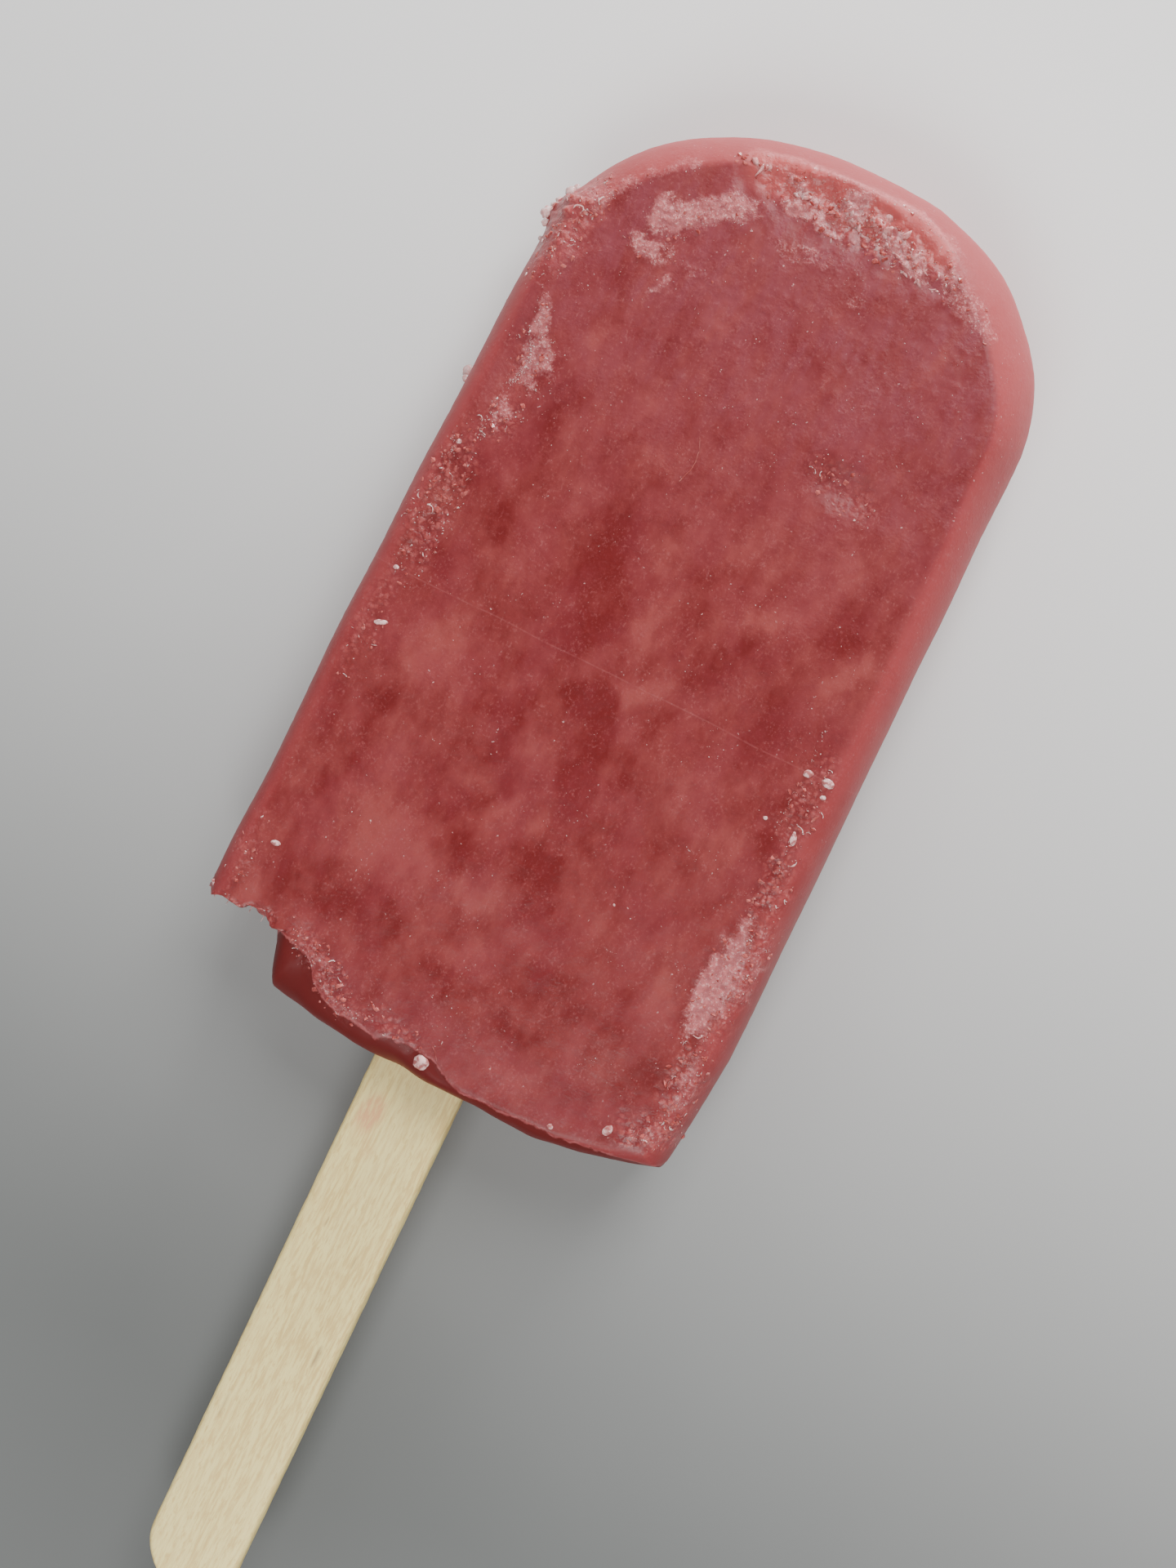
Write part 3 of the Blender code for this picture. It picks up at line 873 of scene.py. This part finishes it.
# Chunks of crushed ice in the chip: x, y, half length, half breadth, turn, fullness.
CHUNKS = {
    "left_lump": (-7.3, 43.3, 0.8, 0.6, 0.0, 0.8),
    "left_bar": (-3.3, 42.2, 2.1, 0.6, -24.0, 1.0),
    "low_bar": (-1.8, 40.6, 3.2, 0.5, -8.0, 0.5),
    "middle_high": (0.9, 43.8, 1.3, 0.9, 50.0, 1.0),
    "middle": (2.8, 42.2, 1.6, 0.9, -20.0, 1.4),
    "right_bar": (7.4, 40.7, 2.9, 0.8, -22.0, 1.3),
    "right_high": (6.6, 42.4, 2.6, 0.7, -24.0, 0.7),
    "far_right": (11.0, 40.4, 1.4, 0.9, -40.0, 0.6),
}


# ---------------------------------------------------------------- materials


def add_node(tree, kind, inputs=None, **settings):
    """Adds a node with its settings; an input given as a socket is linked."""
    made = tree.nodes.new(kind)
    for name, value in settings.items():
        setattr(made, name, value)
    for name, value in (inputs or {}).items():
        if isinstance(value, bpy.types.NodeSocket):
            tree.links.new(value, made.inputs[name])
        else:
            made.inputs[name].default_value = value
    return made


def mask(tree, name):
    """A mask painted on the mesh, as a number."""
    return add_node(tree, "ShaderNodeAttribute", attribute_name=name).outputs["Fac"]


def spread(tree, value, low, high, to_low=0.0, to_high=1.0):
    """Stretches a number from one span to another, kept inside it, with soft ends."""
    return add_node(
        tree, "ShaderNodeMapRange",
        {"Value": value, "From Min": low, "From Max": high, "To Min": to_low, "To Max": to_high},
        interpolation_type="SMOOTHSTEP",
    ).outputs["Result"]


def reckon(tree, operation, first, second=0.0):
    """One sum on one or two numbers or sockets."""
    return add_node(
        tree, "ShaderNodeMath", {0: first, 1: second}, operation=operation
    ).outputs["Value"]


def times(tree, *factors):
    """Several numbers multiplied together."""
    product = factors[0]
    for factor in factors[1:]:
        product = reckon(tree, "MULTIPLY", product, factor)
    return product


def blend(tree, share, first, second):
    """Blends two colours by a share."""
    return add_node(
        tree, "ShaderNodeMix", {0: share, 6: first, 7: second}, data_type="RGBA"
    ).outputs[2]


def build_speckle():
    """The shared speckle: fine noise, with its pitch in millimetres, that follows the piece."""
    group = bpy.data.node_groups.new("speckle", "ShaderNodeTree")
    sockets = {
        "Pitch": ("NodeSocketFloat", 1.0),
        "Stretch": ("NodeSocketVector", (1.0, 1.0, 1.0)),
        "Detail": ("NodeSocketFloat", 3.0),
        "Roughness": ("NodeSocketFloat", 0.55),
    }
    for name, (kind, value) in sockets.items():
        socket = group.interface.new_socket(name, in_out="INPUT", socket_type=kind)
        socket.default_value = value
    group.interface.new_socket("Value", in_out="OUTPUT", socket_type="NodeSocketFloat")
    given = group.nodes.new("NodeGroupInput").outputs
    place = add_node(group, "ShaderNodeTexCoord").outputs["Object"]
    scaled = add_node(group, "ShaderNodeMapping", {"Vector": place, "Scale": given["Stretch"]})
    cloudy = add_node(
        group, "ShaderNodeTexNoise",
        {
            "Vector": scaled.outputs["Vector"],
            "Scale": reckon(group, "DIVIDE", 1.0 / MM, given["Pitch"]),
            "Detail": given["Detail"], "Roughness": given["Roughness"],
        },
    )
    add_node(group, "NodeGroupOutput", {"Value": cloudy.outputs["Fac"]})
    return group


SPECKLE = build_speckle()


def speck(tree, pitch, stretch=(1.0, 1.0, 1.0), detail=3.0, rough=0.55):
    """The shared speckle with this material's own values."""
    placed = add_node(tree, "ShaderNodeGroup", node_tree=SPECKLE)
    placed.inputs["Pitch"].default_value = pitch
    placed.inputs["Stretch"].default_value = stretch
    placed.inputs["Detail"].default_value = detail
    placed.inputs["Roughness"].default_value = rough
    return placed.outputs["Value"]


def grains(tree, pitch):
    """Cells with a pitch in millimetres: the way to each grain's middle, and its own number."""
    place = add_node(tree, "ShaderNodeTexCoord").outputs["Object"]
    bend = add_node(
        tree, "ShaderNodeTexNoise", {"Vector": place, "Scale": 0.8 / (pitch * MM), "Detail": 2.0}
    )
    swayed = add_node(
        tree, "ShaderNodeVectorMath",
        {0: bend.outputs["Color"], 1: (1.6 * pitch * MM,) * 3, 2: place},
        operation="MULTIPLY_ADD",
    )
    cells = add_node(
        tree, "ShaderNodeTexVoronoi",
        {"Vector": swayed.outputs["Vector"], "Scale": 1.0 / (pitch * MM)},
    )
    own = add_node(tree, "ShaderNodeSeparateColor", {"Color": cells.outputs["Color"]})
    return cells.outputs["Distance"], own.outputs["Red"]


def new_material(name):
    made = bpy.data.materials.new(name)
    made.use_nodes = True
    return made, made.node_tree, made.node_tree.nodes["Principled BSDF"]


DEEP_RED = (0.150, 0.0110, 0.0112, 1.0)
BODY_RED = (0.210, 0.0305, 0.0298, 1.0)
MILKY_RED = (0.288, 0.056, 0.0515, 1.0)
MAUVE_RED = (0.235, 0.0345, 0.0450, 1.0)
SPECK_PINK = (0.42, 0.13, 0.13, 1.0)
# Partly frost, partly a painted sheen: a hazy mauve, lighter than the body.
HAZE_AND_SHEEN_ROSE = (0.230, 0.0435, 0.0565, 1.0)
# Painted rim light: a paler pink painted on the sides for light falling on the rim and glowing through it.
PAINTED_RIM_LIGHT_PINK = (0.335, 0.054, 0.057, 1.0)
# Coral of newly broken ice, made lighter as a painted fill light in the shade under the chip's rim.
CHIP_CORAL_AND_FILL_LIGHT = (0.46, 0.084, 0.080, 1.0)
FROST_PINK = (0.54, 0.155, 0.156, 1.0)
FROST_DIM = (0.38, 0.105, 0.110, 1.0)
CRUMB_PINK = (0.45, 0.106, 0.097, 1.0)
WET_RED = (0.132, 0.0180, 0.0175, 1.0)
GLINT = (0.86, 0.52, 0.50, 1.0)


def flesh(tree):
    """The ice's colour: milky clouds in deep red, a mauve film that is partly frost and partly a painted
    sheen, and a painted rim light that makes its sides paler.
    """
    ripple = speck(tree, 1.5, (1.0, 0.6, 1.0), 4.0, 0.62)
    tint = speck(tree, 4.0, (1.0, 0.6, 1.0), 3.0, 0.55)
    brushed = speck(tree, 0.8, (1.0, 0.14, 1.0), 3.0, 0.6)
    milk = reckon(tree, "ADD", mask(tree, "milk"), spread(tree, ripple, 0.25, 0.75, -0.42, 0.42))
    colour = blend(tree, spread(tree, milk, 0.20, -0.85), BODY_RED, DEEP_RED)
    colour = blend(tree, spread(tree, milk, -0.05, 1.10), colour, MILKY_RED)
    colour = blend(tree, spread(tree, tint, 0.4, 0.65, 0.0, 0.30), colour, MAUVE_RED)
    mottled = spread(tree, speck(tree, 2.6, (1.0, 0.7, 1.0), 4.0, 0.6), 0.36, 0.62, 0.30, 1.0)
    # partly frost, partly painted sheen: the hazy mauve film, stronger towards the tip and at the stick end
    haze_and_sheen = times(tree, mask(tree, "haze_and_sheen"), spread(tree, brushed, 0.3, 0.7, 0.45, 0.9), mottled)
    colour = blend(tree, haze_and_sheen, colour, HAZE_AND_SHEEN_ROSE)
    # painted rim light on the sides, from the side mask
    colour = blend(tree, times(tree, mask(tree, "side"), 0.85), colour, PAINTED_RIM_LIGHT_PINK)
    grainy = spread(tree, speck(tree, 0.26, (1.0, 0.8, 1.0), 3.0, 0.65), 0.50, 0.74)
    patchy = spread(tree, speck(tree, 1.9, detail=4.0), 0.38, 0.64, 0.08, 0.38)
    return blend(tree, times(tree, grainy, patchy), colour, SPECK_PINK)


SCRATCH_Y = 0.0044


def fruit_ice():
    """Red fruit ice: milky clouds, frost, crumbly edges, fine glints and a wet glassy end."""
    made, tree, shader = new_material("fruit_ice")
    colour = flesh(tree)
    away, own = grains(tree, 0.55)
    granule = spread(tree, away, 0.60, 0.20)
    powder = speck(tree, 0.27, detail=3.0, rough=0.6)
    drift = speck(tree, 1.2, detail=4.0, rough=0.6)

    crumb = mask(tree, "crumb")
    crumbled = times(tree, crumb, spread(tree, drift, 0.30, 0.60, 0.3, 0.9), granule)
    colour = blend(tree, crumbled, colour, CRUMB_PINK)
    bright = times(tree, crumb, spread(tree, own, 0.55, 1.0), granule, spread(tree, powder, 0.40, 0.60))
    colour = blend(tree, times(tree, bright, 0.9), colour, FROST_PINK)
    # painted fill light: the chip floor's coral, lighter to lift the shade cast by the rim
    colour = blend(tree, times(tree, mask(tree, "fresh_and_fill_light"), 0.8), colour, CHIP_CORAL_AND_FILL_LIGHT)

    wobble = times(tree, reckon(tree, "SUBTRACT", speck(tree, 0.9), 0.5), 0.9)
    skin = reckon(tree, "ADD", mask(tree, "skin"), wobble)
    wet = spread(tree, skin, 0.12, -0.12)
    edge = spread(tree, reckon(tree, "ABSOLUTE", skin), 0.20, 0.04)
    edge = times(tree, edge, spread(tree, drift, 0.35, 0.6, 0.05, 0.45))
    colour = blend(tree, wet, colour, WET_RED)
    colour = blend(tree, edge, colour, FROST_PINK)

    place = add_node(tree, "ShaderNodeTexCoord").outputs["Object"]
    along = add_node(tree, "ShaderNodeSeparateXYZ", {"Vector": place}).outputs["Y"]
    wavering = reckon(tree, "ADD", along, times(tree, speck(tree, 9.0, detail=1.0), 0.0006))
    from_line = reckon(tree, "ABSOLUTE", reckon(tree, "ADD", wavering, SCRATCH_Y))
    scratch = times(tree, spread(tree, from_line, 0.10 * MM, 0.03 * MM), spread(tree, drift, 0.3, 0.6))
    colour = blend(tree, times(tree, scratch, 0.22), colour, SPECK_PINK)

    frost = mask(tree, "frost")
    fine_stray = times(tree, reckon(tree, "SUBTRACT", powder, 0.5), 1.6)
    stray = times(tree, reckon(tree, "SUBTRACT", drift, 0.5), 2.4)
    settled = reckon(tree, "ADD", times(tree, frost, 1.5), reckon(tree, "ADD", fine_stray, stray))
    thick = spread(tree, frost, 0.1, 1.0, 0.40, 0.97)
    cover = times(tree, spread(tree, settled, 0.20, 1.10), thick, spread(tree, frost, 0.02, 0.2))
    coarse = spread(tree, speck(tree, 0.62, detail=4.0, rough=0.65), 0.40, 0.62)
    colour = blend(tree, cover, colour, blend(tree, coarse, FROST_DIM, FROST_PINK))
    white = times(tree, cover, coarse, spread(tree, powder, 0.50, 0.62), 0.45)
    colour = blend(tree, white, colour, GLINT)
    ridge = times(tree, mask(tree, "ridge"), spread(tree, powder, 0.36, 0.60, 0.35, 1.0))
    colour = blend(tree, ridge, colour, FROST_PINK)

    dot_away, dot_own = grains(tree, 0.40)
    cluster = spread(tree, speck(tree, 2.4, detail=3.0, rough=0.6), 0.50, 0.64)
    glint = times(
        tree, spread(tree, dot_away, 0.24, 0.08), spread(tree, dot_own, 0.75, 1.0), cluster,
        spread(tree, skin, -0.2, 0.6),
    )
    colour = blend(tree, times(tree, glint, 0.7), colour, GLINT)
    tree.links.new(colour, shader.inputs["Base Color"])

    rough = spread(tree, wet, 0.0, 1.0, 0.36, 0.30)
    rough = reckon(tree, "ADD", rough, times(tree, cover, 0.22))
    rough = reckon(tree, "ADD", rough, times(tree, mask(tree, "side"), 0.20))
    rough = reckon(tree, "SUBTRACT", rough, times(tree, crumb, 0.12))
    tree.links.new(rough, shader.inputs["Roughness"])
    tree.links.new(spread(tree, wet, 0.0, 1.0, 0.5, 0.12), shader.inputs["Specular IOR Level"])
    tree.links.new(times(tree, crumb, 0.35), shader.inputs["Coat Weight"])
    shader.inputs["Coat Roughness"].default_value = 0.12

    fine = speck(tree, 0.30, (1.0, 1.0, 1.0), 3.0)
    lively = spread(tree, speck(tree, 2.0, detail=3.0), 0.38, 0.64, 0.10, 0.55)
    height = times(tree, fine, lively, spread(tree, skin, -0.3, 0.4, 0.04, 1.0))
    height = reckon(tree, "ADD", height, times(tree, powder, cover, 0.9))
    height = reckon(tree, "SUBTRACT", height, times(tree, away, crumb, 1.7))
    height = reckon(tree, "ADD", height, times(tree, glint, 0.6))
    bump = add_node(tree, "ShaderNodeBump", {"Height": height, "Strength": 0.8, "Distance": 0.0001})
    tree.links.new(bump.outputs["Normal"], shader.inputs["Normal"])
    shader.inputs["IOR"].default_value = 1.31
    shader.inputs["Subsurface Weight"].default_value = 0.35
    shader.inputs["Subsurface Radius"].default_value = (1.0, 0.25, 0.18)
    shader.inputs["Subsurface Scale"].default_value = 0.0018
    return made


def rime(name, light, dark, roughness, transmission, pitch):
    """Ice crystals that vary from a light to a dark tone from one to the next."""
    made, tree, shader = new_material(name)
    uneven = speck(tree, pitch, detail=3.0, rough=0.6)
    colour = blend(tree, spread(tree, uneven, 0.38, 0.62), dark, light)
    tree.links.new(colour, shader.inputs["Base Color"])
    rough = spread(tree, speck(tree, 0.25, detail=2.0), 0.2, 0.8, roughness * 0.6, roughness * 1.4)
    tree.links.new(rough, shader.inputs["Roughness"])
    shader.inputs["IOR"].default_value = 1.31
    shader.inputs["Transmission Weight"].default_value = transmission
    shader.inputs["Subsurface Weight"].default_value = 0.5
    shader.inputs["Subsurface Radius"].default_value = (1.0, 0.5, 0.45)
    shader.inputs["Subsurface Scale"].default_value = 0.5 * MM
    return made


BIRCH_PALE = (1.0, 0.82, 0.33, 1.0)
BIRCH_DEEP = (0.79, 0.57, 0.21, 1.0)
BIRCH_BAND = (0.99, 0.83, 0.36, 1.0)
KNOT_BROWN = (0.34, 0.20, 0.10, 1.0)
STAIN_ORANGE = (0.84, 0.46, 0.20, 1.0)
# Painted shade on the stick where it meets the ice.
ICE_SHADE_GREY = (0.62, 0.48, 0.25, 1.0)


def birch():
    """Pale birch: fine lengthwise grain, small flecks, a juice stain, and painted shade where it goes into
    the ice.
    """
    made, tree, shader = new_material("birch")
    streaks = speck(tree, 0.30, (1.0, 0.09, 1.0), 5.0, 0.65)
    bands = speck(tree, 2.6, (1.0, 0.06, 1.0), 2.0, 0.5)
    pores = speck(tree, 0.30, (1.0, 0.22, 1.0), 3.0, 0.6)
    colour = blend(tree, spread(tree, streaks, 0.42, 0.62), BIRCH_PALE, BIRCH_DEEP)
    colour = blend(tree, spread(tree, bands, 0.35, 0.7, 0.0, 0.5), colour, BIRCH_BAND)
    colour = blend(tree, spread(tree, pores, 0.52, 0.66, 0.0, 0.85), colour, BIRCH_DEEP)
    flecks = spread(tree, speck(tree, 0.5, (1.0, 0.12, 1.0), 1.0, 0.5), 0.72, 0.80)
    colour = blend(tree, times(tree, flecks, 0.4), colour, KNOT_BROWN)
    colour = blend(tree, times(tree, mask(tree, "knot"), 0.7), colour, KNOT_BROWN)
    mottled = spread(tree, pores, 0.35, 0.6, 0.25, 0.6)
    colour = blend(tree, times(tree, mask(tree, "stain"), mottled), colour, STAIN_ORANGE)
    place = add_node(tree, "ShaderNodeTexCoord").outputs["Object"]
    along = add_node(tree, "ShaderNodeSeparateXYZ", {"Vector": place}).outputs["Y"]
    # painted shade: the stick is greyer just below the ice, where the bar's end shades it
    ragged = times(tree, reckon(tree, "SUBTRACT", bands, 0.5), 0.012)
    near = spread(tree, reckon(tree, "ADD", along, ragged), -0.0545, -0.0475)
    colour = blend(tree, times(tree, near, 0.35), colour, ICE_SHADE_GREY)
    tree.links.new(colour, shader.inputs["Base Color"])
    shader.inputs["Roughness"].default_value = 0.62
    bump = add_node(tree, "ShaderNodeBump", {"Height": streaks, "Strength": 0.6, "Distance": 0.0001})
    tree.links.new(bump.outputs["Normal"], shader.inputs["Normal"])
    return made


def pale_floor():
    """A pale matt paper sweep, painted darker towards the stick: a painted falloff of the light from the
    lamps beyond the tip.
    """
    made, tree, shader = new_material("pale_floor")
    place = add_node(tree, "ShaderNodeTexCoord").outputs["Object"]
    parts = add_node(tree, "ShaderNodeSeparateXYZ", {"Vector": place}).outputs
    worn = times(tree, reckon(tree, "SUBTRACT", speck(tree, 60.0), 0.5), 0.05)
    # painted falloff of light: the colour runs from dark at the stick side to pale at the tip side
    tone = reckon(tree, "ADD", spread(tree, parts["Y"], -0.10, 0.068), worn)
    colour = blend(tree, tone, (0.145, 0.151, 0.147, 1.0), (0.86, 0.85, 0.84, 1.0))
    tree.links.new(colour, shader.inputs["Base Color"])
    shader.inputs["Roughness"].default_value = 0.85
    return made


# ---------------------------------------------------------------- light, floor and camera

CAMERA_PLACE = Vector((0.025, 0.002, 0.1968))
CAMERA_AIM = Vector((0.00218, -0.01557, 0.0078))
CAMERA_LENS = 45.0
CAMERA_ROLL = math.radians(26.23)


def add_camera():
    """The camera above the bar and a little to its right, turned so the tip points up and right."""
    ahead = (CAMERA_AIM - CAMERA_PLACE).normalized()
    right = ahead.cross(Vector((0.0, 1.0, 0.0))).normalized()
    above = right.cross(ahead)
    across = right * math.cos(CAMERA_ROLL) + above * math.sin(CAMERA_ROLL)
    upward = above * math.cos(CAMERA_ROLL) - right * math.sin(CAMERA_ROLL)
    data = bpy.data.cameras.new("camera")
    data.lens = CAMERA_LENS
    data.sensor_width = 36.0
    data.clip_start = 0.005
    camera = bpy.data.objects.new("camera", data)
    turned = Matrix((across, upward, -ahead)).transposed().to_4x4()
    camera.matrix_world = Matrix.Translation(CAMERA_PLACE) @ turned
    bpy.context.scene.collection.objects.link(camera)
    bpy.context.scene.camera = camera


def add_light(name, place, aim, size, watts):
    """A soft rectangular lamp that the camera doesn't see."""
    data = bpy.data.lights.new(name, "AREA")
    data.shape = "RECTANGLE"
    data.size, data.size_y = size
    data.energy = watts
    light = bpy.data.objects.new(name, data)
    place = Vector(place)
    turned = (place - Vector(aim)).to_track_quat("Z", "Y").to_matrix().to_4x4()
    light.matrix_world = Matrix.Translation(place) @ turned
    light.visible_camera = False
    bpy.context.scene.collection.objects.link(light)


def add_studio():
    """A pale floor, soft lamps beyond the tip and beyond the stick, and an even sky."""
    mesh = bmesh.new()
    bmesh.ops.create_grid(mesh, x_segments=4, y_segments=4, size=1.5)
    data = bpy.data.meshes.new("floor")
    mesh.to_mesh(data)
    mesh.free()
    data.materials.append(pale_floor())
    floor = bpy.data.objects.new("floor", data)
    bpy.context.scene.collection.objects.link(floor)
    add_light("key_light", (0.06, 0.30, 0.36), (0.0, 0.0, 0.0), (0.26, 0.20), 1.6)
    add_light("rim_light", (0.03, 0.50, 0.085), (0.0, 0.0, 0.01), (0.30, 0.10), 4.5)
    add_light("stick_light", (0.06, -0.28, 0.36), (0.0, -0.08, 0.0), (0.28, 0.20), 1.35)
    world = bpy.data.worlds.new("studio")
    world.use_nodes = True
    world.node_tree.nodes["Background"].inputs["Color"].default_value = (1.0, 1.0, 1.0, 1.0)
    world.node_tree.nodes["Background"].inputs["Strength"].default_value = 0.42
    bpy.context.scene.world = world


# ---------------------------------------------------------------- putting it together

bar = finished("fruit_ice_bar", shape_bar(), fruit_ice())
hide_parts("ice_bar")

stick = finished("birch_stick", shape_stick(), birch())
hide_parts("stick")
stick.data.set_sharp_from_angle(angle=math.radians(50))

surface = BVHTree.FromPolygons(
    [vertex.co for vertex in bar.data.vertices],
    [polygon.vertices for polygon in bar.data.polygons],
)

frosted = rime("frosted_crystal", (0.84, 0.52, 0.50, 1.0), (0.40, 0.125, 0.12, 1.0), 0.20, 0.0, 0.5)
crushed = rime("crushed_ice", (0.68, 0.31, 0.30, 1.0), (0.42, 0.120, 0.115, 1.0), 0.14, 0.0, 0.7)
granular = rime("granular_ice", (0.48, 0.125, 0.112, 1.0), (0.28, 0.050, 0.045, 1.0), 0.14, 0.0, 0.6)
glinting = rime("glinting_fleck", (0.86, 0.52, 0.49, 1.0), (0.45, 0.16, 0.15, 1.0), 0.15, 0.0, 1.2)
clear = rime("clear_bead", (0.96, 0.72, 0.70, 1.0), (0.86, 0.50, 0.48, 1.0), 0.08, 0.45, 0.5)

chunks = Bunch(11)
scatter(surface, CHUNKS, 3.0, (0.6, 1.3), chunks.shard, chunks.dice, sink=0.3)
scatter(surface, CHUNKS, 3.0, (0.12, 0.32), chunks.chip, chunks.dice, sink=0.1)
finished("tip_crystals", chunks.mesh, crushed)

granules = Bunch(12)
scatter(surface, CRUMBS, 3.0, (0.25, 0.70), granules.chip, granules.dice, sink=0.3, clump=0.6)
scatter(surface, FROST, 1.2, (0.2, 0.5), granules.chip, granules.dice, sink=0.3, clump=0.6)
for thickness, line in THREADS.values():
    granules.thread(surface, line, thickness * MM)
finished("edge_granules", granules.mesh, granular, smooth=False)

curls = Bunch(14)
edges = {name: patch for name, patch in CRUMBS.items() if name != "chip_floor"}
scatter(surface, edges, 0.7, (0.4, 1.1), curls.curl, curls.dice, sink=0.0, clump=0.7)
for row in GLINT_ROWS.values():
    glint_row(curls, surface, row)
finished("ice_curls", curls.mesh, glinting, smooth=False)

beads = Bunch(15)
for x, y, length, breadth, turn in WHITE_GRANULES.values():
    hit, normal = on_face(surface, x, y)
    sunk = hit - normal * breadth * 0.15 * MM
    beads.lump(sunk, length * MM, breadth * MM, math.radians(turn))
finished("white_granules", beads.mesh, frosted)

splinters = Bunch(17)
for x, length in SPLINTERS:
    height = splinters.dice.uniform(14.0, 15.6)
    hit, normal, _, _ = surface.ray_cast(Vector((x * MM, -0.06, height * MM)), Vector((0, 1, 0)))
    splinters.splinter(hit, length * 2.2 * MM)
    splinters.chip(hit, normal, length * 0.5 * MM)
finished("break_splinters", splinters.mesh, frosted, smooth=False)

clear_beads = Bunch(16)
for y, diameter in SIDE_BEADS:
    height = clear_beads.dice.uniform(8.5, 11.0)
    hit, normal, _, _ = surface.ray_cast(Vector((-0.05, y * MM, height * MM)), Vector((1, 0, 0)))
    size = diameter * MM
    clear_beads.lump(hit + normal * 0.2 * size, size, size, clear_beads.dice.random(), 0.3)
finished("clear_beads", clear_beads.mesh, clear)

flecks = Bunch(13)
scatter(surface, CRUMBS, 1.5, (0.06, 0.17), flecks.fleck, flecks.dice, sink=-0.1)
scatter(surface, FROST, 3.0, (0.07, 0.16), flecks.fleck, flecks.dice, sink=-0.1)
for _ in range(130):
    cluster = flecks.dice.uniform(-22.0, 22.0), flecks.dice.uniform(-43.0, 38.0)
    for _ in range(flecks.dice.choice((1, 2, 3, 5, 9))):
        x = cluster[0] + flecks.dice.gauss(0.0, 0.7)
        y = cluster[1] + flecks.dice.gauss(0.0, 0.7)
        hit, normal = on_face(surface, x, y)
        if hit:
            flecks.fleck(hit, normal, flecks.dice.uniform(0.05, 0.14) * MM)
finished("frost_flecks", flecks.mesh, glinting, smooth=False)

add_studio()
add_camera()
